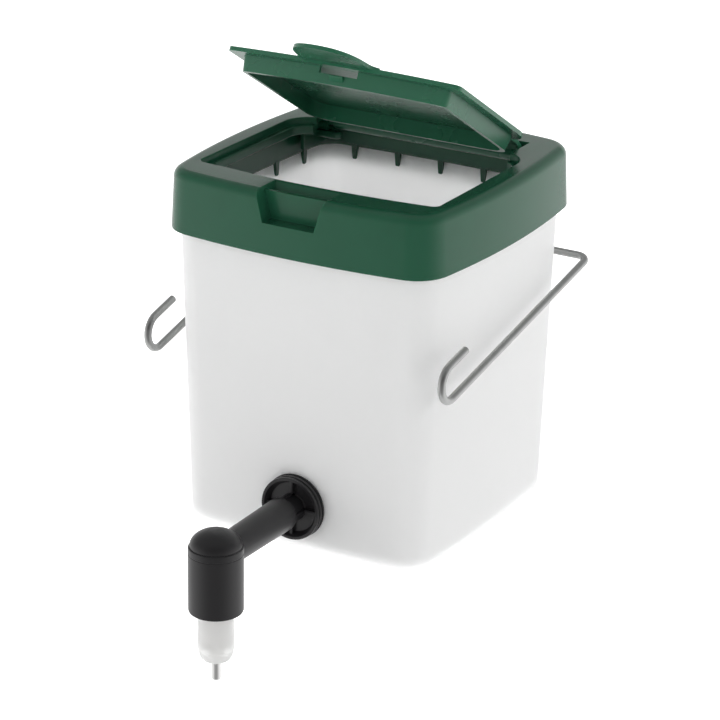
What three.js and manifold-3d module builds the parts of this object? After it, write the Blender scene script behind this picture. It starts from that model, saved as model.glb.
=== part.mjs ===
// Hanging rabbit drinker: a tapered translucent tank with a clip-on lid collar, a hinged filling
// hatch, a spout with a nipple valve, and a bent wire hanger that hooks on to a cage.
// Millimetres, +Z up. The spout points along -Y and the hatch hinge is at +Y. The parts are drawn
// about the centre of the collar's lower edge, and the whole drinker is then moved so that the
// origin is midway between the bends of the two hooks.
import * as THREE from 'three';
import { mergeVertices } from 'three/addons/utils/BufferGeometryUtils.js';
import Module from 'manifold-3d';

const wasm = await Module();
wasm.setup();

// ---------------------------------------------------------------- driving dimensions
const GAP = 0.3;                      // clearance between pieces that meet

const TANK = {
  topX: 51.6, topY: 52.0, bottomX: 49.1, bottomY: 49.6,   // half sizes at the lid's edge and the base
  height: 108.4, brim: 8.6, wall: 1.3, floor: 1.7,
  bow: 560, corner: 10.5, footRound: 4, bead: 0.7, beadHeight: 2.4,
};
const COLLAR = {
  halfX: 56.0, halfY: 56.3, height: 21.6, draft: 0.9, topRound: 3.5,
  wall: 1.6, deck: 1.8, bow: 318, corner: 12.7,
};
const OPENING = {
  halfX: 46.3, front: -41.2, rear: 27.5, frontSag: 2.9, frontCorner: 2.5, rearCorner: 10,
  rebate: 2.5, ledge: 2.2, frontLedge: 6.3, downstand: 5.7, wall: 1.5,
};
const WELL = { slotX: 39, halfX: 43.4, front: 24, back: 41.8, low: 9, wall: 1.6 };
const LUG = { reach: 9.5, front: 33.9, back: 38.1, low: 12.2, high: 14.6 };
const NOTCH = { topHalf: 13.1, lowHalf: 10.0, low: 10.8, wall: 1.4 };
const PLUG = { halfX: 49.5, halfY: 49.9, low: 6.2, wall: 1.4, bow: 520, corner: 9 };
const PEG = { count: 5, pitch: 17.5, length: 4.7, width: 1.4, sideShift: -2.4 };

const HINGE = { y: 38.4, z: 17.5, open: 31, pin: 1.7, barrel: 2.4, pinEnd: 44.4 };
const HATCH = {
  halfX: 44.9, front: -37.2, rear: 27, sag: 2.8, frontCorner: 2.2, rearCorner: 9.4,
  plate: 1.5, rimHalfX: 40.4, rimFront: -33.7, rimRear: 26.4, rimDepth: 7, rimWall: 1.4, rimDraft: 0.8,
  tailX: 37.4,
};
const TAB = { half: 13.4, length: 16.4, flare: 2.6, thick: 1.3, lift: 0.7, offset: -0.7 };
const WINDOW = { half: 7.4, height: 2.1, offset: -0.9 };
const CATCH = { half: 2.6, height: 2.2, reach: 1.0 };

const SPOUT = { x: 0.8, z: -90.7, elbowY: -100.7, hole: 6.3, bore: 3.8 };
const FLANGE = {
  radius: 11.3, groove: 10.8, lip: 10.3, floor: 9.2, thick: 3.1, recess: 2.5, neck: 4.7, neckLength: 4.6,
  web: 1.2, webDepth: 1.1,
};
const GASKET = { inner: 6.4, outer: 11.5, thick: 0.8 };
const WASHER = { inner: 6.1, outer: 9.6, low: -48.3, high: -46.9 };
const NUT = { corner: 9.8, thick: 5.4, middle: -43.9, bore: 6.0 };
const ELBOW = { radius: 9.3, top: -86.5, low: -110.0, dome: 5.7, bore: 6.9, chamber: 5.0 };
const NIPPLE = { radius: 6.15, low: -128.0, tip: 3.7, shoulder: -124.2 };
const PIN = { radius: 1.65, low: -135.7, head: 3.2, headTop: -108.7 };

const WIRE = { radius: 1.35, legX: 57.8, backY: 53.5, backZ: -20.5, bend: 4, hookR: 6.2, hookLeg: 11.5 };
const LEG = { right: 11.6, left: 14.3, front: -45.4 };        // leg slopes in degrees, and the hooks' y
const EYE = { x: 30, width: 7, depth: 3.0, height: 7.2, bore: 1.75 };

const WALL_FACE = -TANK.bottomY - 0.8;                        // just off the tank's front wall at the spout

// ---------------------------------------------------------------- solids
const plastic = (color, roughness) => new THREE.MeshStandardMaterial({ color, roughness, metalness: 0 });
const metal = (color, roughness) => new THREE.MeshStandardMaterial({ color, roughness, metalness: 1 });

function solid(geometry) {
  geometry.deleteAttribute('normal');
  geometry.deleteAttribute('uv');
  const merged = mergeVertices(geometry, 1e-4);
  const vertProperties = new Float32Array(merged.attributes.position.array);
  const triVerts = new Uint32Array(merged.index.array);
  return new wasm.Manifold(new wasm.Mesh({ numProp: 3, vertProperties, triVerts }));
}

function named(name, body, material) {
  const mesh = body.getMesh();
  const geometry = new THREE.BufferGeometry();
  geometry.setAttribute('position', new THREE.BufferAttribute(mesh.vertProperties, 3));
  geometry.setIndex(new THREE.BufferAttribute(mesh.triVerts, 1));
  geometry.computeVertexNormals();
  const piece = new THREE.Mesh(geometry, material);
  piece.name = name;
  return piece;
}

// Straight prism of a plan outline between two heights.
function prism(shape, low, high, curveSegments = 4) {
  const settings = { depth: high - low, bevelEnabled: false, curveSegments };
  return solid(new THREE.ExtrudeGeometry(shape, settings).translate(0, 0, low));
}

// Prism whose layers are scaled: levels are [height, scale] pairs from low to high.
function tapered(shape, levels, curveSegments = 3) {
  const steps = levels.length - 1;
  const settings = { depth: steps, steps, bevelEnabled: false, curveSegments };
  const geometry = new THREE.ExtrudeGeometry(shape, settings);
  const place = geometry.attributes.position;
  for (let i = 0; i < place.count; i += 1) {
    const [height, scale] = levels[Math.round(place.getZ(i))];
    place.setXYZ(i, place.getX(i) * scale, place.getY(i) * scale, height);
  }
  return solid(geometry);
}

// Outline drawn in (Y, Z), extruded along X from low to high.
function sidePrism(points, low, high) {
  const shape = new THREE.Shape(points.map(([y, z]) => new THREE.Vector2(y, z)));
  const geometry = new THREE.ExtrudeGeometry(shape, { depth: high - low, bevelEnabled: false });
  const turn = new THREE.Matrix4().makeBasis(
    new THREE.Vector3(0, 1, 0), new THREE.Vector3(0, 0, 1), new THREE.Vector3(1, 0, 0));
  return solid(geometry.applyMatrix4(turn).translate(low, 0, 0));
}

// Outline drawn in (X, Z), extruded along Y from low to high.
function frontPrism(points, low, high) {
  const shape = new THREE.Shape(points.map(([x, z]) => new THREE.Vector2(x, z)));
  const geometry = new THREE.ExtrudeGeometry(shape, { depth: high - low, bevelEnabled: false });
  return solid(geometry.rotateX(Math.PI / 2).translate(0, high, 0));
}

function box(low, high) {
  const size = high.map((value, i) => value - low[i]);
  const middle = high.map((value, i) => (value + low[i]) / 2);
  return solid(new THREE.BoxGeometry(...size).translate(...middle));
}

// Solid of revolution about the upright axis through (x, y); profile is [radius, height] pairs.
function turned(profile, x = 0, y = 0, segments = 28) {
  const points = profile.map(([radius, height]) => new THREE.Vector2(radius, height));
  const geometry = new THREE.LatheGeometry(points, segments);
  return solid(geometry.rotateX(Math.PI / 2).translate(x, y, 0));
}

// The same about the spout's axis; profile is [radius, y] pairs with y rising.
function turnedAlongY(profile, segments = 28) {
  const points = profile.map(([radius, along]) => new THREE.Vector2(radius, along));
  return solid(new THREE.LatheGeometry(points, segments).translate(SPOUT.x, 0, SPOUT.z));
}

function rodAlongX(radius, low, high, y, z, segments = 20) {
  const geometry = new THREE.CylinderGeometry(radius, radius, high - low, segments);
  return solid(geometry.rotateZ(Math.PI / 2).translate((low + high) / 2, y, z));
}

// Rounded square whose four sides are shallow arcs of radius bow.
function bowedSquare(halfX, halfY, bow, corner) {
  const front = new THREE.Vector2(0, bow - halfY);
  const side = new THREE.Vector2(halfX - bow, 0);
  const middle = front.clone().add(side).multiplyScalar(0.5);
  const across = side.clone().sub(front);
  const reach = Math.sqrt((bow - corner) ** 2 - across.lengthSq() / 4);
  const outward = new THREE.Vector2(-across.y, across.x).normalize();
  const centre = middle.clone().addScaledVector(outward, reach);
  const frontTurn = Math.atan2(centre.x - front.x, front.y - centre.y);
  const sideTurn = Math.atan2(-centre.y, centre.x - side.x);
  const shape = new THREE.Shape();
  const [cx, cy] = [Math.abs(centre.x), Math.abs(centre.y)];
  const quarter = Math.PI / 2;
  shape.absarc(0, front.y, bow, -quarter - frontTurn, -quarter + frontTurn, false);
  shape.absarc(cx, -cy, corner, -quarter + frontTurn, -sideTurn, false);
  shape.absarc(side.x, 0, bow, -sideTurn, sideTurn, false);
  shape.absarc(cx, cy, corner, sideTurn, quarter - frontTurn, false);
  shape.absarc(0, -front.y, bow, quarter - frontTurn, quarter + frontTurn, false);
  shape.absarc(-cx, cy, corner, quarter + frontTurn, 2 * quarter - sideTurn, false);
  shape.absarc(-side.x, 0, bow, 2 * quarter - sideTurn, 2 * quarter + sideTurn, false);
  shape.absarc(-cx, -cy, corner, 2 * quarter + sideTurn, 3 * quarter - frontTurn, false);
  return shape;
}

// Plan of the hatch and of the opening that it drops into: bowed front, big rear corners.
function hatchPlan(halfX, front, rear, sag, frontCorner, rearCorner) {
  const shape = new THREE.Shape();
  shape.moveTo(-halfX + frontCorner, front + sag);
  shape.quadraticCurveTo(0, front - sag, halfX - frontCorner, front + sag);
  shape.absarc(halfX - frontCorner, front + sag + frontCorner, frontCorner, -Math.PI / 2, 0, false);
  shape.absarc(halfX - rearCorner, rear - rearCorner, rearCorner, 0, Math.PI / 2, false);
  shape.absarc(-halfX + rearCorner, rear - rearCorner, rearCorner, Math.PI / 2, Math.PI, false);
  shape.absarc(-halfX + frontCorner, front + sag + frontCorner, frontCorner, Math.PI, 1.5 * Math.PI, false);
  return shape;
}

// ---------------------------------------------------------------- tank
function tankBody() {
  const { topX, topY, bottomX, height, brim, wall, floor, bow, corner, footRound } = TANK;
  const shrink = 1 - bottomX / topX;
  const scaleAt = (z) => 1 + (shrink * z) / height;
  const foot = [0, 0.3, 0.6, 1].map((t) => {
    const rise = footRound * (1 - Math.cos((t * Math.PI) / 2));
    const inset = footRound * (1 - Math.sin((t * Math.PI) / 2));
    return [-height + rise, scaleAt(-height + rise) - inset / topX];
  });
  const outer = tapered(bowedSquare(topX, topY, bow, corner), [...foot, [brim, scaleAt(brim)]]);
  const inside = bowedSquare(topX - wall, topY - wall, bow, corner - wall);
  const hollow = foot.map(([z, scale]) => [z + floor, scale]);
  const cavity = tapered(inside, [...hollow, [brim + 1, scaleAt(brim)]]);
  const bead = tapered(bowedSquare(topX + TANK.bead, topY + TANK.bead, bow, corner + TANK.bead),
    [[brim - TANK.beadHeight, 0.985], [brim - TANK.beadHeight / 2, 1], [brim, 1]]);
  const hole = turnedAlongY([[0, -60], [SPOUT.hole, -60], [SPOUT.hole, -40], [0, -40]]);
  return outer.add(bead).subtract(cavity).add(wireEyes()).subtract(hole);
}

// Two moulded eyes on the back wall that the hanger turns in.
function wireEyes() {
  const back = TANK.topY - 1.2;
  const low = WIRE.backZ - EYE.height / 2;
  const high = WIRE.backZ + EYE.height / 2;
  const face = WIRE.backY + EYE.depth;
  const outline = [[back, low - 2.5], [back, high + 2.5], [face, high], [face, low]];
  const eyes = [-EYE.x, EYE.x].map((x) => sidePrism(outline, x - EYE.width / 2, x + EYE.width / 2)
    .subtract(rodAlongX(EYE.bore, x - EYE.width, x + EYE.width, WIRE.backY, WIRE.backZ)));
  return eyes[0].add(eyes[1]);
}

// ---------------------------------------------------------------- lid collar
function collarShell() {
  const { halfX, halfY, height, draft, topRound, wall, deck, bow, corner } = COLLAR;
  const scale = (inset) => 1 - inset / halfX;
  const round = [0, 0.35, 0.7, 1].map((t) => [
    height - topRound * (1 - Math.sin((t * Math.PI) / 2)),
    scale(draft + topRound * (1 - Math.cos((t * Math.PI) / 2)))]);
  const outer = tapered(bowedSquare(halfX, halfY, bow, corner), [[0, 1], ...round]);
  const inside = bowedSquare(halfX - wall, halfY - wall, bow, corner - wall);
  const cavity = tapered(inside, [[-1, 1], [height - topRound, scale(draft)],
    [height - deck, scale(draft + 1.6)]]);
  return { outer, cavity };
}

function plugRing() {
  const { halfX, halfY, low, wall, bow, corner } = PLUG;
  const high = COLLAR.height - COLLAR.deck + 0.6;
  const ring = prism(bowedSquare(halfX, halfY, bow, corner), low, high, 3)
    .subtract(prism(bowedSquare(halfX - wall, halfY - wall, bow, corner - wall), low - 1, high + 1, 3));
  return ring.add(pegs());
}

// Centring pegs under the plug ring: thin ribs that taper towards the tank's wall.
function pegs() {
  const ribs = [];
  const inner = 0.2;
  const rib = (across) => [
    [across - PLUG.wall + inner, PLUG.low + 0.5], [across - PLUG.wall + inner, PLUG.low - PEG.length],
    [across - PLUG.wall + inner + 0.8, PLUG.low - PEG.length], [across - 0.1, PLUG.low + 0.5]];
  for (let i = 0; i < PEG.count; i += 1) {
    const along = (i - (PEG.count - 1) / 2) * PEG.pitch;
    const sag = along ** 2 / (2 * PLUG.bow);
    const back = sidePrism(rib(PLUG.halfY - sag), along - PEG.width / 2, along + PEG.width / 2);
    const place = along + PEG.sideShift;
    const side = frontPrism(rib(PLUG.halfX - sag), place - PEG.width / 2, place + PEG.width / 2);
    ribs.push(back, back.mirror([0, 1, 0]), side, side.mirror([1, 0, 0]));
  }
  return ribs.reduce((all, one) => all.add(one));
}

// Rebate, ledge and downstand round the filling opening, and the hinge well behind it.
function openingWalls() {
  const { halfX, front, rear, frontSag, frontCorner, rearCorner, rebate, downstand, wall } = OPENING;
  const top = COLLAR.height;
  const plan = (grow) => hatchPlan(halfX + grow, front - grow, rear + grow, frontSag, frontCorner + grow,
    rearCorner + grow);
  const ledge = prism(plan(wall - 0.2), top - rebate - wall, top - 1);
  const skirt = prism(innerPlan(wall), top - downstand, top - rebate - 0.5);
  const well = box([-WELL.halfX - WELL.wall, WELL.front, WELL.low],
    [WELL.halfX + WELL.wall, WELL.back + WELL.wall, top - 1]);
  return ledge.add(skirt).add(well);
}

function innerPlan(grow) {
  const { halfX, front, rear, frontSag, rearCorner, ledge, frontLedge } = OPENING;
  return hatchPlan(halfX - ledge + grow, front + frontLedge - grow, rear - ledge + grow, frontSag,
    2 + grow, rearCorner - ledge + grow);
}

function openingCut() {
  const { halfX, front, rear, frontSag, frontCorner, rearCorner, rebate } = OPENING;
  const top = COLLAR.height;
  const seat = hatchPlan(halfX, front, rear, frontSag, frontCorner, rearCorner);
  const pocket = prism(seat, top - rebate, top + 5);
  const through = prism(innerPlan(0), -5, top + 5);
  const slot = box([-WELL.slotX, WELL.front - 4, -5], [WELL.slotX, WELL.back, top + 5]);
  const well = box([-WELL.halfX, WELL.front - 4, -5], [WELL.halfX, WELL.back, top - COLLAR.deck]);
  const bores = rodAlongX(HINGE.pin + GAP, -WELL.halfX - 5, WELL.halfX + 5, HINGE.y, HINGE.z);
  return pocket.add(through).add(slot).add(well).add(bores);
}

// Finger notch in the front border, under the hatch's tab; grow adds its pocket wall.
function notchShape(grow) {
  const { topHalf, lowHalf, low } = NOTCH;
  const top = COLLAR.height + 2;
  const slope = (topHalf - lowHalf) / (COLLAR.height - low);
  const widest = topHalf + 2 * slope + grow;
  const face = [[-lowHalf - grow, low - grow], [lowHalf + grow, low - grow], [widest, top], [-widest, top]];
  const back = grow ? -41 : -42.4;
  const depth = [[-60, low - grow], [-49.4 + grow * 0.7, low - grow], [-48.6 + grow, low + 1],
    [-44.4 + grow, 18.6], [back, COLLAR.height - 0.4], [back, top], [-60, top]];
  return frontPrism(face, -60, -38).intersect(sidePrism(depth, -20, 20));
}

function collarBody() {
  const { outer, cavity } = collarShell();
  const pocket = notchShape(NOTCH.wall).intersect(outer);
  return outer.subtract(cavity).add(plugRing()).add(openingWalls()).add(pocket)
    .subtract(openingCut()).subtract(notchShape(0)).add(hingeLugs());
}

// Round-ended lugs on the well's side walls, just under the hatch's barrel.
function hingeLugs() {
  const { reach, front, back, low, high } = LUG;
  const radius = (back - front) / 2;
  const wall = WELL.halfX + WELL.wall / 2;
  const tip = WELL.halfX - reach + radius;
  const shape = new THREE.Shape();
  shape.moveTo(-wall, front);
  shape.absarc(-tip, (front + back) / 2, radius, -Math.PI / 2, Math.PI / 2, false);
  shape.lineTo(-wall, back);
  const lug = prism(shape, low, high);
  return lug.add(lug.mirror([1, 0, 0]));
}

// ---------------------------------------------------------------- hatch, drawn closed
function hatchBody() {
  const top = COLLAR.height;
  const { halfX, front, rear, sag, frontCorner, rearCorner, plate, rimHalfX, rimFront, rimRear } = HATCH;
  const under = top - plate;
  const low = top - HATCH.rimDepth;
  const rim = (grow) => hatchPlan(rimHalfX + grow, rimFront - grow, rimRear + grow, sag * 0.9,
    2 + grow, 6 + grow);
  const draft = 1 - HATCH.rimDraft / rimHalfX;
  const wall = tapered(rim(0), [[low, draft], [under + 0.3, 1]])
    .subtract(tapered(rim(-HATCH.rimWall), [[low - 1, draft], [under + 1, 1]]));
  const lid = prism(hatchPlan(halfX, front, rear, sag, frontCorner, rearCorner), under, top);
  const window = box([WINDOW.offset - WINDOW.half, rimFront - 4, under - WINDOW.height],
    [WINDOW.offset + WINDOW.half, rimFront + 4, under - 0.02]);
  return wall.subtract(window).add(lid).add(tab()).add(catchLug()).add(hingeTail());
}

function tab() {
  const { half, length, flare, thick, lift, offset } = TAB;
  const root = HATCH.front + 1.5;
  const tip = HATCH.front - length;
  const shape = new THREE.Shape();
  shape.moveTo(half + flare, root);
  shape.quadraticCurveTo(half, root - 1.2, half - 0.2, root - flare - 1.5);
  shape.bezierCurveTo(half - 1, tip + 4, half * 0.62, tip, 0, tip);
  shape.bezierCurveTo(-half * 0.62, tip, -half + 1, tip + 4, -half + 0.2, root - flare - 1.5);
  shape.quadraticCurveTo(-half, root - 1.2, -half - flare, root);
  shape.lineTo(-half, root + 2);
  shape.lineTo(half, root + 2);
  return prism(shape, COLLAR.height + lift - thick, COLLAR.height + lift, 5).translate([offset, 0, 0]);
}

// Small snap lug on the rim's front wall, under the window that its mould core leaves.
function catchLug() {
  const high = COLLAR.height - HATCH.plate - WINDOW.height;
  const wall = HATCH.rimFront;
  const outline = [[wall + 0.6, high], [wall - CATCH.reach, high - 0.4], [wall + 0.6, high - CATCH.height]];
  return sidePrism(outline, WINDOW.offset - CATCH.half, WINDOW.offset + CATCH.half);
}

// The narrower tail curves down to a barrel whose stub pins turn in the collar's well walls. Its
// rear is low enough to swing past the well's back edge when the hatch is wide open.
function hingeTail() {
  const top = COLLAR.height;
  const { y, z, barrel, pin, pinEnd } = HINGE;
  const under = top - HATCH.plate;
  const start = HATCH.rear - 8;
  const outline = [[start, under], [y - 6, under], [y - 4.2, under - 0.5], [y - 2, z + 1], [y, z],
    [y + 0.9, z + barrel - 0.2], [y - 1.9, top - 0.9], [y - 4.2, top - 0.35], [y - 6.2, top], [start, top]];
  return sidePrism(outline, -HATCH.tailX, HATCH.tailX)
    .add(rodAlongX(barrel, -HATCH.tailX, HATCH.tailX, y, z))
    .add(rodAlongX(pin, -pinEnd, pinEnd, y, z));
}

// ---------------------------------------------------------------- spout and elbow
// A flange with a grooved edge and a recessed face, a ribbed neck, and the thicker tube to the elbow.
function spoutTube() {
  const { radius, groove, lip, floor, thick, recess, neck, neckLength, web, webDepth } = FLANGE;
  const back = WALL_FACE - GASKET.thick - GAP;
  const front = back - thick;
  const root = front + recess;
  const end = SPOUT.elbowY + ELBOW.chamber + 0.6;
  const profile = [
    [SPOUT.bore, end], [5.55, end], [6.0, front - neckLength - 0.4], [5.6, front - neckLength],
    [neck, front - neckLength], [neck, root], [floor, root], [lip, front], [radius - 0.3, front],
    [radius, front + 0.3], [radius, front + 1.1], [groove, front + 1.3], [groove, front + 1.7],
    [radius, front + 1.9], [radius, back], [5.7, back], [5.7, -38.6], [5.3, -38.2], [SPOUT.bore, -38.2],
    [SPOUT.bore, end]];
  const body = turnedAlongY(profile);
  const across = box([-lip, front + webDepth, -web / 2], [lip, root + 0.1, web / 2])
    .add(box([-5.5, front - neckLength - 0.2, -web / 2], [5.5, root, web / 2]));
  const inside = turnedAlongY([[0, -120], [lip - 0.3, -120], [lip - 0.3, 0], [0, 0]]);
  const cross = across.add(across.rotate([0, 90, 0])).translate([SPOUT.x, 0, SPOUT.z]).intersect(inside);
  const passage = turnedAlongY([[0, -120], [SPOUT.bore, -120], [SPOUT.bore, 0], [0, 0]]);
  return body.add(cross.subtract(passage));
}

function washer(inner, outer, low, high) {
  return turnedAlongY([[inner, low], [outer, low], [outer, high], [inner, high], [inner, low]]);
}

function lockNut() {
  const { corner, thick, middle, bore } = NUT;
  const outer = new THREE.CylinderGeometry(corner, corner, thick, 6).rotateY(Math.PI / 6);
  const hex = solid(outer.translate(SPOUT.x, middle, SPOUT.z));
  return hex.subtract(turnedAlongY([[0, -50], [bore, -50], [bore, -38], [0, -38]]));
}

function elbowHousing() {
  const { radius, top, low, dome, bore, chamber } = ELBOW;
  const y = SPOUT.elbowY;
  const cap = radius - 0.35;
  const crown = [0.3, 0.55, 0.78, 0.93].map((t) => [cap * Math.sqrt(1 - t * t), top + dome * t]);
  const outer = turned([[0, low], [radius - 0.5, low], [radius, low + 0.5], [radius, top - 0.5],
    [radius - 0.3, top], ...crown, [0, top + dome]], SPOUT.x, y, 32);
  const inside = turned([[0, low - 1], [bore, low - 1], [bore, -98.6], [chamber, -97.6],
    [chamber, top + 0.6], [0, top + 1.4]], SPOUT.x, y);
  const socket = turnedAlongY([[0, y + 1], [5.9, y + 1], [5.95, y + 14], [0, y + 14]]);
  return outer.subtract(inside).subtract(socket);
}

// ---------------------------------------------------------------- nipple valve
const atElbow = (profile, segments) => turned(profile, SPOUT.x, SPOUT.elbowY, segments);

function nippleSleeve() {
  const { radius, low, tip, shoulder } = NIPPLE;
  const round = [0.2, 0.45, 0.7, 0.9].map((t) => [
    tip + (radius - 0.25 - tip) * Math.cos((t * Math.PI) / 2),
    shoulder + (low - shoulder) * Math.sin((t * Math.PI) / 2)]);
  return atElbow([[2.1, low], [tip, low], ...round.reverse(), [radius - 0.25, shoulder],
    [radius, shoulder + 0.3], [radius, -108.4], [6.55, -107.6], [6.55, -106.2], [5.7, -106.0],
    [5.7, -103.9], [6.55, -103.7], [6.55, -99.2], [4.9, -99.2], [4.9, -122.7], [2.1, -123.4], [2.1, low]]);
}

const valveCore = () => atElbow([[1.9, -122.4], [4.3, -122.4], [4.6, -121.8], [4.6, -112.5],
  [1.9, -112.5], [1.9, -122.4]], 24);
const valveSeal = () => atElbow([[1.9, -112.2], [4.6, -112.2], [4.6, -110.4], [1.9, -110.4],
  [1.9, -112.2]], 24);

function sealRing() {
  const ring = new THREE.TorusGeometry(6.2, 0.5, 8, 28);
  return solid(ring.translate(SPOUT.x, SPOUT.elbowY, -104.95));
}

function triggerPin() {
  const { radius, low, head, headTop } = PIN;
  return atElbow([[0, low], [radius - 0.4, low], [radius, low + 0.5], [radius, headTop - 1.4],
    [head, headTop - 1.4], [head, headTop], [0.9, headTop], [0.9, headTop + 1.2], [0, headTop + 1.2]], 20);
}

function valveSpring() {
  const turns = 5;
  const [low, high, mean, thick] = [PIN.headTop + 0.7, -100.6, 2.2, 0.35];
  class Helix extends THREE.Curve {
    getPoint(t, target = new THREE.Vector3()) {
      const angle = t * turns * 2 * Math.PI;
      return target.set(mean * Math.cos(angle), mean * Math.sin(angle), low + (high - low) * t);
    }
  }
  const section = new THREE.Shape().absarc(0, 0, thick, 0, 2 * Math.PI, false);
  const settings = { steps: 70, curveSegments: 3, extrudePath: new Helix(), bevelEnabled: false };
  return solid(new THREE.ExtrudeGeometry(section, settings).translate(SPOUT.x, SPOUT.elbowY, 0));
}

// Perforated plate that closes the valve's inlet and holds the spring down.
function springPlate() {
  const plate = atElbow([[0, -100.0], [4.6, -100.0], [4.6, -98.9], [0, -98.9]], 24);
  const holes = [0, 1, 2, 3].map((i) => {
    const angle = (i + 0.5) * (Math.PI / 2);
    const centre = [SPOUT.x + 2.6 * Math.cos(angle), SPOUT.elbowY + 2.6 * Math.sin(angle)];
    return turned([[0, -101], [1, -101], [1, -98], [0, -98]], ...centre, 10);
  });
  return holes.reduce((left, hole) => left.subtract(hole), plate);
}

// ---------------------------------------------------------------- wire hanger
// One leg's points from its hook tip to the rear bend, in its own upright plane.
function legPoints(slope) {
  const angle = (slope * Math.PI) / 180;
  const along = new THREE.Vector2(Math.cos(angle), Math.sin(angle));
  const up = new THREE.Vector2(-along.y, along.x);
  const rear = new THREE.Vector2(WIRE.backY - WIRE.bend, WIRE.backZ - WIRE.bend * Math.tan(angle));
  const run = (rear.x - LEG.front) / along.x;
  const foot = rear.clone().addScaledVector(along, -run);
  const centre = foot.clone().addScaledVector(up, WIRE.hookR);
  const at = (a, b) => centre.clone().addScaledVector(along, a).addScaledVector(up, b);
  return { centre, rear, foot, tip: at(WIRE.hookLeg, WIRE.hookR), at };
}

const rightLeg = legPoints(LEG.right);
const leftLeg = legPoints(LEG.left);

function hangerPath() {
  const path = new THREE.CurvePath();
  const place = (x, p) => new THREE.Vector3(x, p.x, p.y);
  const line = (a, b) => path.add(new THREE.LineCurve3(a, b));
  const turn = (points) => path.add(new THREE.CatmullRomCurve3(points, false, 'centripetal'));
  const hook = (leg, x) => [1, 0.707, 0, -0.707, -1].map((up, i) => {
    const along = [0, -0.707, -1, -0.707, 0][i];
    return place(x, leg.at(along * WIRE.hookR, up * WIRE.hookR));
  });
  const inner = WIRE.legX - WIRE.bend;
  const corner = (leg, side) => {
    const start = place(side * WIRE.legX, leg.rear);
    const end = new THREE.Vector3(side * inner, WIRE.backY, WIRE.backZ);
    const cut = WIRE.bend * 0.29;
    const drop = WIRE.backZ - leg.rear.y;
    const bulge = new THREE.Vector3(side * (WIRE.legX - cut), WIRE.backY - cut, leg.rear.y + drop * 0.7);
    return [start, bulge, end];
  };
  const right = hook(rightLeg, WIRE.legX);
  const left = hook(leftLeg, -WIRE.legX).reverse();
  const rightCorner = corner(rightLeg, 1);
  const leftCorner = corner(leftLeg, -1).reverse();
  line(place(WIRE.legX, rightLeg.tip), right[0]);
  turn(right);
  line(right[4], rightCorner[0]);
  turn(rightCorner);
  line(rightCorner[2], leftCorner[0]);
  turn(leftCorner);
  line(leftCorner[2], left[0]);
  turn(left);
  line(left[4], place(-WIRE.legX, leftLeg.tip));
  return path;
}

function hangerBody() {
  const section = new THREE.Shape().absarc(0, 0, WIRE.radius, 0, 2 * Math.PI, false);
  const settings = { steps: 118, curveSegments: 4, extrudePath: hangerPath(), bevelEnabled: false };
  return solid(new THREE.ExtrudeGeometry(section, settings));
}

// ---------------------------------------------------------------- assembly
const green = plastic(0x2f5f49, 0.42);
const milky = plastic(0xe8e9ea, 0.5);
const black = plastic(0x232324, 0.4);
const rubber = plastic(0x18181a, 0.85);
const clear = plastic(0xd8dad8, 0.35);
const steel = metal(0xb9bcbd, 0.35);
const zinc = metal(0x8f9190, 0.5);

const drinker = new THREE.Group();
drinker.add(named('tank', tankBody(), milky));
drinker.add(named('lid_collar', collarBody(), green));
drinker.add(named('wire_hanger', hangerBody(), zinc));

const hatchTurn = new THREE.Group();
hatchTurn.position.set(0, HINGE.y, HINGE.z);
hatchTurn.rotation.x = -(HINGE.open * Math.PI) / 180;
hatchTurn.add(named('hatch', hatchBody().translate([0, -HINGE.y, -HINGE.z]), green));
drinker.add(hatchTurn);

drinker.add(named('spout_tube', spoutTube(), black));
drinker.add(named('outer_gasket', washer(GASKET.inner, GASKET.outer, WALL_FACE - GASKET.thick, WALL_FACE),
  rubber));
drinker.add(named('inner_washer', washer(WASHER.inner, WASHER.outer, WASHER.low, WASHER.high), rubber));
drinker.add(named('lock_nut', lockNut(), black));
drinker.add(named('elbow_housing', elbowHousing(), black));
drinker.add(named('nipple_sleeve', nippleSleeve(), clear));
drinker.add(named('nipple_o_ring', sealRing(), rubber));
drinker.add(named('valve_core', valveCore(), plastic(0xb9b0ab, 0.5)));
drinker.add(named('valve_seal', valveSeal(), plastic(0x8a4a3a, 0.8)));
drinker.add(named('trigger_pin', triggerPin(), steel));
drinker.add(named('valve_spring', valveSpring(), steel));
drinker.add(named('spring_plate', springPlate(), black));

// The origin sits midway between the hooks' bends, where the drinker hangs.
const hang = rightLeg.centre.clone().add(leftLeg.centre).multiplyScalar(0.5);
drinker.position.set(0, -hang.x, -hang.y);

const model = new THREE.Group();
model.add(drinker);
export default model;
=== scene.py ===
# The hanging drinker's looks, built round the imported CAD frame. Everything is drawn in millimetres
# about the centre of the lid collar's lower edge (the datum), and turned into metres in the row frame.
import math

import bpy
from mathutils import Matrix, Vector

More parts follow.
